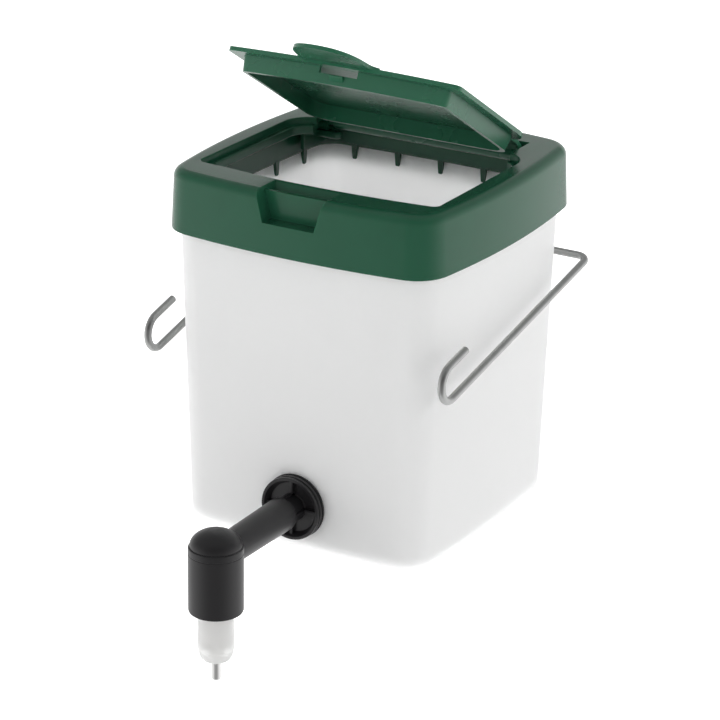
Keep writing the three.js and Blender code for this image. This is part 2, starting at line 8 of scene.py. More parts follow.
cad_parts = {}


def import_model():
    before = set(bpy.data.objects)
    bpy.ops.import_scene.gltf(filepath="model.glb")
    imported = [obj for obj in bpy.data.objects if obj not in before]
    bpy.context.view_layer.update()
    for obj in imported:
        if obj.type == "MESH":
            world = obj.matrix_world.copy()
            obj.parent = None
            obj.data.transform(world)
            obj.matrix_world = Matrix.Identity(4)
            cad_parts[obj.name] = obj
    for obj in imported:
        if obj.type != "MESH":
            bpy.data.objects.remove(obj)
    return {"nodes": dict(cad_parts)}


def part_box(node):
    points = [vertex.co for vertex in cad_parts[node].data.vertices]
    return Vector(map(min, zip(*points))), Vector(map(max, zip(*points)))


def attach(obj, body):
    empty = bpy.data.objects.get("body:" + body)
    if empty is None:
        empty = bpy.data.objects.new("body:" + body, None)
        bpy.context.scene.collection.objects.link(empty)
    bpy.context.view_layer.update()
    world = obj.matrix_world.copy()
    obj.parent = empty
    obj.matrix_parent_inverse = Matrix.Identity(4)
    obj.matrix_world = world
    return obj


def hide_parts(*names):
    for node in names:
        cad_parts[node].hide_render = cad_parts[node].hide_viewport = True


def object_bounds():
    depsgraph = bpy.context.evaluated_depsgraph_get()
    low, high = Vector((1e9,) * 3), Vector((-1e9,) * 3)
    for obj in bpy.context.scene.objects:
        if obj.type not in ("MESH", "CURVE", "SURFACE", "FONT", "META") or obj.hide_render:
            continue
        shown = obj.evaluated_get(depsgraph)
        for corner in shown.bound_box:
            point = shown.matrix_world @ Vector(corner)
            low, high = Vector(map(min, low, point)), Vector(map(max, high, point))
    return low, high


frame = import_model()
CAD_BOX = [list(corner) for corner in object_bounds()]

MM = 0.001
LOW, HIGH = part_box("lid_collar")
DATUM = Vector(((LOW[0] + HIGH[0]) / 2, (LOW[1] + HIGH[1]) / 2, LOW[2]))

# ---------------------------------------------------------------- dimensions, as in the CAD (mm)
TOP = 21.6                                # collar's top above the datum
HINGE_Y, HINGE_Z, OPEN = 38.4, 17.5, math.radians(31)
SPOUT_X, SPOUT_Z, ELBOW_Y = 0.8, -90.7, -100.7
TAPER = 2.5 / 108.4                       # tank half width lost per mm of height
BOTTOM, BRIM = -108.4, 8.6                # tank's underside and upper edge
WALL_FACE = -50.4                         # just off the tank's front wall at the spout
WIRE_R, LEG_X, REAR_Y, REAR_Z = 1.35, 57.8, 53.5, -20.5
BEND, HOOK_R, HOOK_LEG, HOOK_Y = 4, 6.2, 11.5, -45.4


def at(x, y, z):
    """A point in mm about the datum, as metres in the row frame."""
    return DATUM + Vector((x, y, z)) * MM


def opened(x, y, z):
    """A point of the hatch, drawn closed, turned to where it stands open."""
    dy, dz = y - HINGE_Y, z - HINGE_Z
    return at(
        x,
        HINGE_Y + dy * math.cos(OPEN) + dz * math.sin(OPEN),
        HINGE_Z - dy * math.sin(OPEN) + dz * math.cos(OPEN),
    )


# ---------------------------------------------------------------- mesh tools
def mesh_object(name, verts, faces, place=at):
    mesh = bpy.data.meshes.new(name)
    mesh.from_pydata([place(*v) for v in verts], [], faces)
    mesh.validate()
    mesh.update()
    obj = bpy.data.objects.new(name, mesh)
    bpy.context.scene.collection.objects.link(obj)
    return obj


def applied(obj):
    """Bakes the object's modifiers into its mesh."""
    bpy.context.view_layer.update()
    deps = bpy.context.evaluated_depsgraph_get()
    mesh = bpy.data.meshes.new_from_object(obj.evaluated_get(deps))
    obj.modifiers.clear()
    old, obj.data = obj.data, mesh
    bpy.data.meshes.remove(old)
    mesh.name = obj.name
    return obj


def boolean(obj, tool, operation="DIFFERENCE"):
    mod = obj.modifiers.new("boolean", "BOOLEAN")
    mod.object = tool
    mod.operation = operation
    mod.solver = "EXACT"
    applied(obj)
    bpy.data.objects.remove(tool)
    return obj


def rounded(obj, width, angle=40, segments=2):
    """Rounds the edges sharper than angle degrees; width in mm."""
    mod = obj.modifiers.new("bevel", "BEVEL")
    mod.width = width * MM
    mod.segments = segments
    mod.limit_method = "ANGLE"
    mod.angle_limit = math.radians(angle)
    return applied(obj)


def smooth(obj, angle=32):
    """Smooth shading that keeps the flat faces beside small rounds flat."""
    obj.data.shade_smooth()
    obj.data.set_sharp_from_angle(angle=math.radians(angle))
    mod = obj.modifiers.new("normals", "WEIGHTED_NORMAL")
    mod.keep_sharp = True
    return applied(obj)


def join(main, *others):
    """Puts the others' meshes into main as further shells."""
    verts = [v.co.copy() for v in main.data.vertices]
    faces = [list(p.vertices) for p in main.data.polygons]
    for other in others:
        base = len(verts)
        verts += [v.co.copy() for v in other.data.vertices]
        faces += [[base + i for i in p.vertices] for p in other.data.polygons]
        bpy.data.objects.remove(other)
    mesh = bpy.data.meshes.new(main.name)
    mesh.from_pydata(verts, [], faces)
    main.data = mesh
    return main


def loft(name, rings, closed=False, place=at):
    """Skin over rings of equal length, each a list of (x, y, z); open lofts get end caps."""
    count = len(rings[0])
    verts = [p for ring in rings for p in ring]
    faces = []
    for i in range(len(rings) if closed else len(rings) - 1):
        a, b = i * count, ((i + 1) % len(rings)) * count
        faces += [(a + k, a + (k + 1) % count, b + (k + 1) % count, b + k) for k in range(count)]
    if not closed:
        faces.append(tuple(reversed(range(count))))
        faces.append(tuple(range((len(rings) - 1) * count, len(rings) * count)))
    return mesh_object(name, verts, faces, place)


def block(name, low, high):
    (x0, y0, z0), (x1, y1, z1) = low, high
    bottom = [(x0, y0), (x1, y0), (x1, y1), (x0, y1)]
    return loft(name, [level(bottom, z) for z in (z0, z1)])


def level(outline, z):
    return [(x, y, z) for x, y in outline]


def wound(points):
    """The outline in anticlockwise order."""
    pairs = zip(points, points[1:] + points[:1])
    area = sum(a[0] * b[1] - b[0] * a[1] for a, b in pairs) / 2
    return points if area > 0 else points[::-1]


def across(name, outline, x0, x1, place=at):
    """Outline of (y, z) points, carried along X."""
    return loft(name, [[(x, y, z) for y, z in wound(outline)] for x in (x0, x1)], place=place)


def rod(name, radius, x0, x1, y, z, segments=32):
    """Round rod along X."""
    turns = [2 * math.pi * k / segments for k in range(segments)]
    ring = [(radius * math.cos(turn), radius * math.sin(turn)) for turn in turns]
    return loft(name, [[(x, y + a, z + b) for a, b in ring] for x in (x0, x1)])


def lathe(name, profile, centre, axis="Z", segments=64):
    """Profile of (radius, along) turned about an axis through centre; a radius of 0 closes on it."""
    cx, cy, cz = centre
    verts, faces, rows = [], [], []
    for radius, along in profile:
        row = []
        for k in range(1 if radius == 0 else segments):
            c = radius * math.cos(2 * math.pi * k / segments)
            s = radius * math.sin(2 * math.pi * k / segments)
            row.append(len(verts))
            verts.append((cx + c, cy + s, cz + along) if axis == "Z" else (cx + c, cy + along, cz + s))
        rows.append(row)
    for a, b in zip(rows, rows[1:]):
        for k in range(segments):
            k2 = (k + 1) % segments
            quad = [a[k % len(a)], a[k2 % len(a)], b[k2 % len(b)], b[k % len(b)]]
            quad = list(dict.fromkeys(quad))
            if len(quad) > 2:
                faces.append(quad if axis == "Z" else quad[::-1])
    return mesh_object(name, verts, faces)


def arc(cx, cy, radius, start, end, steps):
    """Points on an arc in degrees, without its last one."""
    angles = [math.radians(start + (end - start) * k / steps) for k in range(steps)]
    return [(cx + radius * math.cos(a), cy + radius * math.sin(a)) for a in angles]


def segment(a, b, steps):
    return [(a[0] + (b[0] - a[0]) * k / steps, a[1] + (b[1] - a[1]) * k / steps) for k in range(steps)]


def bezier(points, steps):
    """Points on a quadratic or cubic curve, without its last one."""
    out = []
    for k in range(steps):
        t = k / steps
        row = list(points)
        while len(row) > 1:
            row = [tuple(p * (1 - t) + q * t for p, q in zip(a, b)) for a, b in zip(row, row[1:])]
        out.append(row[0])
    return out


SIDE, CORNER = 20, 10                     # points along each side and round each corner of an outline


def bowed(hx, hy, bow, corner):
    """Rounded square whose four sides are shallow arcs."""
    front, side = Vector((0, bow - hy)), Vector((hx - bow, 0))
    gap = side - front
    out = Vector((-gap.y, gap.x)).normalized()
    centre = (front + side) / 2 + out * math.sqrt((bow - corner) ** 2 - gap.length_squared / 4)
    turn_front = math.degrees(math.atan2(centre.x - front.x, front.y - centre.y))
    turn_side = math.degrees(math.atan2(-centre.y, centre.x - side.x))
    cx, cy = abs(centre.x), abs(centre.y)
    points = []
    for ox, oy, face, turn, next_turn, kx, ky in (
        (0, front.y, -90, turn_front, turn_side, cx, -cy),
        (side.x, 0, 0, turn_side, turn_front, cx, cy),
        (0, -front.y, 90, turn_front, turn_side, -cx, cy),
        (-side.x, 0, 180, turn_side, turn_front, -cx, -cy),
    ):
        points += arc(ox, oy, bow, face - turn, face + turn, SIDE)
        points += arc(kx, ky, corner, face + turn, face + 90 - next_turn, CORNER)
    return points


def hatch_plan(hx, front, rear, sag, r_front, r_rear):
    """Outline with a bowed front edge and larger rear corners."""
    points = bezier([(-hx + r_front, front + sag), (0, front - sag), (hx - r_front, front + sag)], SIDE)
    points += arc(hx - r_front, front + sag + r_front, r_front, -90, 0, CORNER)
    points += segment((hx, front + sag + r_front), (hx, rear - r_rear), SIDE)
    points += arc(hx - r_rear, rear - r_rear, r_rear, 0, 90, CORNER)
    points += segment((hx - r_rear, rear), (-hx + r_rear, rear), SIDE)
    points += arc(-hx + r_rear, rear - r_rear, r_rear, 90, 180, CORNER)
    points += segment((-hx, rear - r_rear), (-hx, front + sag + r_front), SIDE)
    points += arc(-hx + r_front, front + sag + r_front, r_front, 180, 270, CORNER)
    return points


def fillet(inset, z, radius, rising, steps=5):
    """(inset, z) pairs of a quarter round that starts on an upright wall and ends level."""
    out = []
    for k in range(steps + 1):
        t = math.pi / 2 * k / steps
        out.append((inset + radius * (1 - math.cos(t)), z + rising * radius * math.sin(t)))
    return out


# ---------------------------------------------------------------- materials
GLOSS_SPREAD = 0.12                       # share by which the roughness varies from patch to patch
GRAIN_DEPTH = 0.0001                      # metres


def shader(name, color, roughness, grain=0.0, grain_size=0.5, vary=0.06, blotch=12.0, **sockets):
    """Moulded or drawn surface: patchy gloss, a faint shift of colour, and a fine grain as bump."""
    mat = bpy.data.materials.new(name)
    mat.use_nodes = True
    nodes, links = mat.node_tree.nodes, mat.node_tree.links
    bsdf = nodes["Principled BSDF"]
    for key, value in sockets.items():
        bsdf.inputs[key.replace("_", " ")].default_value = value
    coords = nodes.new("ShaderNodeTexCoord")
    patch = nodes.new("ShaderNodeTexNoise")
    patch.inputs["Scale"].default_value = 1000 / blotch
    patch.inputs["Detail"].default_value = 3
    links.new(coords.outputs["Object"], patch.inputs["Vector"])
    gloss = nodes.new("ShaderNodeMapRange")
    gloss.inputs["To Min"].default_value = roughness * (1 - GLOSS_SPREAD)
    gloss.inputs["To Max"].default_value = roughness * (1 + GLOSS_SPREAD)
    links.new(patch.outputs["Fac"], gloss.inputs["Value"])
    links.new(gloss.outputs["Result"], bsdf.inputs["Roughness"])
    tint = nodes.new("ShaderNodeMix")
    tint.data_type = "RGBA"
    tint.inputs[6].default_value = (*[c * (1 - vary) for c in color], 1)
    tint.inputs[7].default_value = (*[min(1, c * (1 + vary)) for c in color], 1)
    links.new(patch.outputs["Fac"], tint.inputs[0])
    links.new(tint.outputs[2], bsdf.inputs["Base Color"])
    if grain:
        fine = nodes.new("ShaderNodeTexNoise")
        fine.inputs["Scale"].default_value = 1000 / grain_size
        fine.inputs["Detail"].default_value = 2
        bump = nodes.new("ShaderNodeBump")
        bump.inputs["Strength"].default_value = grain
        bump.inputs["Distance"].default_value = GRAIN_DEPTH
        links.new(coords.outputs["Object"], fine.inputs["Vector"])
        links.new(fine.outputs["Fac"], bump.inputs["Height"])
        links.new(bump.outputs["Normal"], bsdf.inputs["Normal"])
    return mat


MILKY = shader("milky_polypropylene", (0.985, 0.985, 0.987), 0.42, grain=0.12, grain_size=0.6, vary=0.012,
               Subsurface_Weight=1.0, Subsurface_Radius=(1.0, 1.0, 1.0), Subsurface_Scale=0.008, IOR=1.45)
DEEP_GREEN = {"Subsurface_Weight": 0.3, "Subsurface_Radius": (0.35, 1.0, 0.6), "Subsurface_Scale": 0.002}
GREEN = shader("green_satin_plastic", (0.0105, 0.068, 0.036), 0.22, grain=0.08, grain_size=0.45,
               IOR=1.39, **DEEP_GREEN)
# Hatch's green: the collar's plastic with a higher IOR and its base colour lightened by about half, a painted
# glow for the light the hatch's underside gets from the tank's bright inside, laid over the whole hatch.
GREEN_PAINTED_GLOW = shader("green_plastic_painted_glow", (0.017, 0.102, 0.055), 0.27, grain=0.04, grain_size=0.45,
                IOR=1.52, **DEEP_GREEN)
BLACK = shader("black_satin_plastic", (0.0105, 0.01, 0.011), 0.36, grain=0.16, grain_size=0.4, IOR=1.42)
RUBBER = shader("black_rubber", (0.012, 0.011, 0.012), 0.72, grain=0.3, grain_size=0.35, IOR=1.5)
RED_RUBBER = shader("red_brown_rubber", (0.30, 0.10, 0.07), 0.7, grain=0.3, grain_size=0.35)
CLEAR = shader("clear_milky_plastic", (0.86, 0.86, 0.85), 0.3, grain=0.05, vary=0.01,
               Transmission_Weight=0.55, Subsurface_Weight=0.3, Subsurface_Radius=(1.0, 1.0, 1.0),
               Subsurface_Scale=0.002, IOR=1.45)
CORE = shader("pale_core_plastic", (0.62, 0.58, 0.55), 0.45, grain=0.1)
STEEL = shader("stainless_steel", (0.72, 0.72, 0.71), 0.3, grain=0.1, grain_size=0.2, Metallic=1.0)
ZINC = shader("galvanised_wire", (0.4, 0.405, 0.4), 0.32, grain=0.35, grain_size=0.5, vary=0.16, blotch=2.5,
              Metallic=1.0)


def piece(obj, material, body, nodes):
    """Finishes a visible piece: its material, the CAD body it rides on and the nodes it stands for."""
    obj.data.materials.clear()
    obj.data.materials.append(material)
    smooth(obj)
    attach(obj, body)
    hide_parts(*nodes)


# ---------------------------------------------------------------- tank
def tank():
    """Tapered shell with a rounded foot, a thickened brim, the spout's hole and the hanger's eyes."""
    half_x, half_y, bow, corner = 51.6, 52.0, 560, 10.5
    skin, base, foot, bead = 1.3, 1.7, 4.0, 0.7
    heights = (-80, -50, -20, 0)

    def wall(z, inset):
        reach = TAPER * z - inset
        return level(bowed(half_x + reach, half_y + reach, bow, max(corner - inset, 2)), z)

    rings = [wall(z, inset) for inset, z in reversed(fillet(0, BOTTOM + foot, foot, -1, 7))]
    rings += [wall(z, 0) for z in (*heights, BRIM - 2.4)]
    rings += [wall(BRIM - 2.1, -bead * 0.8), wall(BRIM - 1.6, -bead), wall(BRIM - 0.4, -bead)]
    rings += [wall(BRIM, -bead + 0.4), wall(BRIM, skin - 0.3), wall(BRIM - 0.3, skin)]
    rings += [wall(z, skin) for z in reversed(heights)]
    rings += [wall(z + base, inset + skin) for inset, z in fillet(0, BOTTOM + foot, foot - 0.5, -1, 7)]
    body = loft("tank_shell", rings)
    hole = lathe("hole", [(0, -60), (6.3, -60), (6.3, -40), (0, -40)], SPOUT_AXIS, "Y")
    boolean(body, hole)
    join(body, *[eye(x) for x in (-30, 30)])
    piece(body, MILKY, "tank", ["tank"])


def eye(x):
    """Moulded eye on the tank's back wall, with the hanger's back run through it."""
    inside, back, half, bore = 50.8, 56.5, 3.5, 1.75
    outline = [(inside, -26.6), (back, -24.1), (back, -16.9), (inside, -14.4)]
    lug = across("eye", outline, x - half, x + half)
    boolean(lug, rod("bore", bore, x - half - 2.5, x + half + 2.5, REAR_Y, REAR_Z))
    return rounded(lug, 0.4)


# ---------------------------------------------------------------- lid collar
def collar_plan(inset):
    return bowed(56.0 - inset, 56.3 - inset, 318, max(12.7 - inset, 2))


def opening_plan(grow):
    return hatch_plan(46.3 + grow, -41.2 - grow, 27.5 + grow, 2.9, 2.5 + grow, 10 + grow)


def mouth_plan(grow):
    return hatch_plan(44.1 + grow, -34.9 - grow, 25.3 + grow, 2.9, 2 + grow, 7.8 + grow)


def notch_tool(name, grow):
    """Finger notch's volume; grow adds the pocket wall round it."""
    sill = 10.8
    low, top = sill - grow, TOP + 2
    slope = 3.1 / 10.8

    def ring(z, front, back):
        half = 10.0 + (z - sill) * slope + grow
        return [(-half, front, z), (half, front, z), (half, back, z), (-half, back, z)]

    back = [(low, -49.4), (11.8, -48.6), (18.6, -44.4), (TOP - 0.4, -42.4), (top, -42.4)]
    if grow:
        back = [(low, -47.6), (11.8, -47.0), (18.6, -43.0), (TOP - 1, -41.4)]
    front = -54.2 if grow else -60
    return loft(name, [ring(z, front, y) for z, y in back])


def collar():
    """Clip-on border with its opening and notch, the plug ring, the pegs and the hatch's hinge well."""
    draft, edge = 0.9, 3.5
    well_y, well_x = 41.8, 43.4           # inner faces of the well's back and side walls
    wall, low, high = 1.6, 9.0, 20.4
    rings = [level(collar_plan(0.3), 0), level(collar_plan(0.08), 0.08), level(collar_plan(0), 0.3)]
    rings += [level(collar_plan(draft * 0.5), 9)]
    rings += [level(collar_plan(i), z) for i, z in fillet(draft, TOP - edge, edge, 1, 8)]
    rings += [level(opening_plan(g), z) for g, z in ((0.5, TOP), (0.15, TOP - 0.15), (0, TOP - 0.5))]
    rings += [level(opening_plan(g), z) for g, z in ((0, TOP - 2.2), (-0.1, TOP - 2.42), (-0.35, TOP - 2.5))]
    rings += [level(mouth_plan(g), z) for g, z in ((0.4, TOP - 2.5), (0.1, TOP - 2.62), (0, TOP - 2.9))]
    lip = ((0, 16.2), (0.3, 15.9), (1.2, 15.9), (1.5, 16.2), (1.5, 17.6))
    rings += [level(mouth_plan(g), z) for g, z in lip]
    rings += [level(opening_plan(1.3), 17.6), level(opening_plan(1.3), 19.8)]
    inside = ((5.0, 19.8), (3.6, 19.2), (2.7, 17.8), (2.0, 9), (1.6, 0.3), (1.3, 0))
    rings += [level(collar_plan(i), z) for i, z in inside]
    body = loft("collar_shell", rings, closed=True)
    boolean(body, notch_tool("pocket", 1.2), "UNION")
    boolean(body, notch_tool("notch", 0))
    boolean(body, block("slot", (-39, 20, 12), (39, well_y, 30)))
    rounded(body, 0.35, 42)

    parts = [plug_ring(), *pegs()]
    outer = well_x + wall
    parts.append(rounded(block("well_back", (-outer, well_y, low), (outer, well_y + wall, high)), 0.3))
    for side in (-1, 1):
        x0, x1 = sorted((side * well_x, side * outer))
        parts.append(rounded(block("well_side", (x0, 26, low), (x1, 43.0, high)), 0.3))
        parts += [boss(side), hinge_lug(side)]
    join(body, *parts)
    piece(body, GREEN, "lid", ["lid_collar"])


PLUG_X, PLUG_Y, PLUG_BOW = 49.5, 49.9, 520


def plug_ring():
    """Wall that stands inside the tank's mouth."""
    corner, thick, low, high, chamfer = 9, 1.4, 6.2, 20.4, 0.3

    def ring(inset, z):
        return level(bowed(PLUG_X - inset, PLUG_Y - inset, PLUG_BOW, corner - inset), z)

    return loft("plug", [ring(chamfer, low), ring(0, low + chamfer), ring(0, high), ring(thick, high),
                         ring(thick, low + chamfer), ring(thick - chamfer, low)], closed=True)


PEG_COUNT, PEG_PITCH, PEG_HALF = 5, 17.5, 0.95
PEG_SHIFT = -2.4                          # the side walls' pegs stand a little to the front


def pegs():
    """Tapered ribs under the plug ring that guide it into the tank's mouth."""
    made = []
    for i in range(PEG_COUNT):
        along = (i - (PEG_COUNT - 1) / 2) * PEG_PITCH
        sag = along ** 2 / (2 * PLUG_BOW)
        for turn in range(4):
            reach, shift = ((PLUG_Y, 0), (PLUG_X, PEG_SHIFT))[turn % 2]
            face = reach - sag

            def spot(a, depth, z, turn=turn, shift=shift):
                x, y = a, depth
                for _ in range(turn):
                    x, y = y, -x
                return (x, y + shift, z)

            rings = []
            for z, inner, outer, share in ((7.0, 1.5, 0.15, 1.25), (4.0, 1.5, 0.35, 1),
                                           (1.9, 1.45, 0.6, 0.8), (1.5, 1.3, 0.75, 0.55)):
                left, right = along - PEG_HALF * share, along + PEG_HALF * share
                deep, near = face - inner, face - outer
                ring = [(left, deep), (right, deep), (right, near), (left, near)]
                rings.append([spot(a, d, z) for a, d in ring])
            made.append(loft("peg", rings))
    return made


def boss(side):
    """Bearing boss on the well's side wall, round the hatch's stub pin."""
    radius, bore, drop = 3.1, 2.0, 0.9
    x0, x1 = sorted((side * 39.6, side * 43.6))
    ring = rod("boss", radius, x0, x1, HINGE_Y, HINGE_Z - drop)
    boolean(ring, rod("bore", bore, x0 - 2, x1 + 2, HINGE_Y, HINGE_Z))
    return rounded(ring, 0.3, 50)


def hinge_lug(side):
    """Round-ended lug on the well's side wall, just under the hatch's barrel."""
    tip, wall, front, back, low, high = 33.9, 43.9, 33.9, 38.1, 12.2, 14.6
    radius = (back - front) / 2
    ring = [(wall, back)] + arc(tip + radius, (front + back) / 2, radius, 90, 270, 14) + [(wall, front)]
    ring = wound([(side * x, y) for x, y in ring])
    return rounded(loft("hinge_lug", [level(ring, low), level(ring, high)]), 0.7, 50, 4)


# ---------------------------------------------------------------- hatch, drawn closed
UNDER = TOP - 1.5                         # underside of the hatch's plate


def hatch():
    """Plate with a rim under it, its tail with the stub pins, and the finger tab."""
    plan = hatch_plan(44.9, -37.2, 27, 2.8, 2.2, 9.4)
    body = loft("hatch_shell", [level(plan, UNDER), level(plan, TOP)])
    boolean(body, tail(), "UNION")
    rim = rim_wall(TOP - 7, UNDER + 0.3)
    window = block("window", (-8.3, -40, UNDER - 2.1), (6.5, -30, UNDER - 0.02))
    boolean(rim, window)
    boolean(body, rim, "UNION")
    boolean(body, tab(), "UNION")
    rounded(body, 0.32, 42)
    for v in body.data.vertices:
        v.co = opened(*((v.co - DATUM) / MM))
    join(body, catch_lug())
    # The whole hatch takes the lightened green with its painted glow.
    piece(body, GREEN_PAINTED_GLOW, "hatch", ["hatch"])


def rim_wall(low, high):
    """Wall round the hatch's underside that leans in as it goes down."""
    thick, lean = 1.4, 0.8 / 6

    def ring(inset, z):
        inset += (high - z) * lean
        return level(hatch_plan(40.4 - inset, -33.7 + inset, 26.4 - inset, 2.5, 2, 6), z)

    return loft("rim", [ring(0, low), ring(0, high), ring(thick, high), ring(thick, low)], closed=True)


def tail():
    """Curved strip from the plate to the hinge barrel, with a stub pin at each end."""
    y, z, barrel, pin = HINGE_Y, HINGE_Z, 2.4, 1.7
    outline = [(y - 6, UNDER), (y - 4.2, TOP - 2.0), (y - 2, z + 1)]
    outline += arc(y, z, barrel, 200, 440, 18)
    outline += [(y - 1.9, TOP - 0.9), (y - 4.2, TOP - 0.35), (y - 6.2, TOP), (19, TOP), (19, UNDER)]
    body = across("tail", outline, -37.4, 37.4)
    for side in (-1, 1):
        x0, x1 = sorted((side * 37.0, side * 44.0))
        boolean(body, rod("pin", pin, x0, x1, y, z, 24), "UNION")
    return body


def tab():
    """Round-ended finger tab that stands a little above the plate."""
    half, flare, root, shift = 13.4, 2.6, -35.7, -0.7
    lift, thick = 0.7, 1.3
    tip = -37.2 - 16.4                    # hatch's front edge less the tab's length
    bend = (half - 0.2, root - flare - 1.5)
    outline = bezier([(half + flare, root), (half, root - 1.2), bend], 6)
    outline += bezier([bend, (half - 1, tip + 4), (half * 0.62, tip), (0, tip)], 14)
    right = outline + [(0, tip)]
    left = [(-x, y) for x, y in reversed(outline)]
    ring = wound(right + left + [(-half, root + 2), (half, root + 2)])
    ring = [(x + shift, y) for x, y in ring]
    return loft("tab", [level(ring, TOP + lift - thick), level(ring, TOP + lift)])


def catch_lug():
    """Small wedge on the rim's front wall, under the window."""
    high, wall = UNDER - 2.1, -33.7
    outline = [(wall + 0.6, high), (wall - 0.9, high - 0.3), (wall - 1.0, high - 0.8),
               (wall + 0.6, high - 2.2)]
    return rounded(across("catch", outline, -3.5, 1.7, place=opened), 0.2, 30)


# ---------------------------------------------------------------- spout
GASKET_FACE = WALL_FACE - 0.8             # gasket's front face
SPOUT_AXIS = (SPOUT_X, 0, SPOUT_Z)
NIPPLE_AXIS = (SPOUT_X, ELBOW_Y, 0)


def spout():
    """Tube along Y with a grooved, recessed flange and its webs, and the seals and nut behind it."""
    back = GASKET_FACE - 0.3
    front = back - 3.1
    root = front + 2.5                    # bottom of the flange's recess
    neck, shoulder = 4.7, front - 4.6
    lip, radius, groove, bore = 10.3, 11.3, 10.8, 3.8
    profile = [(bore, -95.1), (5.55, -95.1), (6.0, shoulder - 0.6), (5.93, shoulder - 0.2), (5.7, shoulder),
               (neck + 0.2, shoulder), (neck, shoulder + 0.2), (neck, root - 0.3), (neck + 0.3, root),
               (8.9, root), (9.25, root - 0.3), (lip - 0.1, front + 0.1), (lip + 0.1, front),
               (radius - 0.3, front), (radius - 0.08, front + 0.08), (radius, front + 0.3),
               (radius, front + 0.95), (radius - 0.2, front + 1.15), (groove, front + 1.25),
               (groove, front + 1.65), (radius - 0.2, front + 1.75), (radius, front + 1.95),
               (radius, back - 0.25), (radius - 0.25, back), (5.7, back), (5.7, -38.6), (5.3, -38.2),
               (bore, -38.2), (bore, -95.1)]
    body = lathe("spout_pipe", profile, SPOUT_AXIS, "Y", 80)
    ribs = []
    for quarter in range(4):
        ribs.append(spoke(quarter, (neck - 0.3, lip - 0.35), (front + 1.1, root + 0.1)))
        ribs.append(spoke(quarter, (neck - 0.3, 5.5), (shoulder - 0.1, root + 0.1)))
    join(body, *ribs)
    piece(body, BLACK, "spout", ["spout_tube"])

    low, high = GASKET_FACE, WALL_FACE
    gasket = [(6.4, low), (11.25, low), (11.45, low + 0.1), (11.5, low + 0.25), (11.5, high - 0.25),
              (11.45, high - 0.1), (11.25, high), (6.4, high), (6.4, low)]
    piece(lathe("gasket_ring", gasket, SPOUT_AXIS, "Y", 72), RUBBER, "tank", ["outer_gasket"])
    washer = [(6.1, -48.3), (9.3, -48.3), (9.6, -48.0), (9.6, -47.2), (9.3, -46.9), (6.1, -46.9),
              (6.1, -48.3)]
    piece(lathe("washer_ring", washer, SPOUT_AXIS, "Y", 64), RUBBER, "tank", ["inner_washer"])
    piece(hex_nut(), BLACK, "spout", ["lock_nut"])


def spoke(quarter, radii, depths):
    """Radial web between two radii and two depths, turned by quarters about the spout's axis."""
    turn = math.radians(90 * quarter)
    c, s = math.cos(turn), math.sin(turn)
    half = 0.6
    ring = [(radii[0], -half), (radii[1], -half), (radii[1], half), (radii[0], half)]
    spots = [(SPOUT_X + a * c - b * s, SPOUT_Z + a * s + b * c) for a, b in ring]
    front, back = depths
    return rounded(loft("web", [[(x, y, z) for x, z in spots] for y in (back, front)]), 0.15)


def hex_nut():
    corner = 9.8
    turns = [math.radians(60 * k) for k in reversed(range(6))]
    corners = [(corner * math.sin(turn), corner * math.cos(turn)) for turn in turns]
    rings = []
    for y, scale in ((-46.6, 0.95), (-46.2, 1), (-41.6, 1), (-41.2, 0.95)):
        rings.append([(SPOUT_X + x * scale, y, SPOUT_Z + z * scale) for x, z in corners])
    nut = loft("nut_body", rings)
    hole = lathe("hole", [(0, -50), (6.0, -50), (6.0, -38), (0, -38)], SPOUT_AXIS, "Y", 48)
    return rounded(boolean(nut, hole), 0.25, 50)


def elbow():
    """Upright cylinder with a groove, a domed cap, and sockets for the tube and the nipple."""
    radius, top, low, dome = 9.3, -86.5, -110.0, 5.7
    cap = radius - 0.45
    profile = [(6.9, low), (radius - 0.7, low), (radius - 0.2, low + 0.2), (radius, low + 0.7),
               (radius, top - 2.7), (radius - 0.1, top - 2.55), (radius - 0.1, top - 2.35),
               (radius, top - 2.2), (radius, top - 0.5), (radius - 0.12, top - 0.18),
               (radius - 0.4, top - 0.02), (cap - 0.15, top - 0.1), (cap - 0.05, top + 0.1)]
    for k in range(1, 16):
        t = math.pi / 2 * k / 16
        profile.append(((cap - 0.05) * math.cos(t), top + 0.1 + (dome - 0.1) * math.sin(t)))
    profile += [(0, top + dome), (0, top + 1.4), (5.0, top + 0.6), (5.0, -97.6), (6.9, -98.6), (6.9, low)]
    body = lathe("elbow_body", profile, NIPPLE_AXIS, "Z", 80)
    start, end = ELBOW_Y + 1, ELBOW_Y + 14
    boolean(body, lathe("socket", [(0, start), (5.85, start), (5.9, end), (0, end)], SPOUT_AXIS, "Y", 48))
    piece(body, BLACK, "spout", ["elbow_housing"])


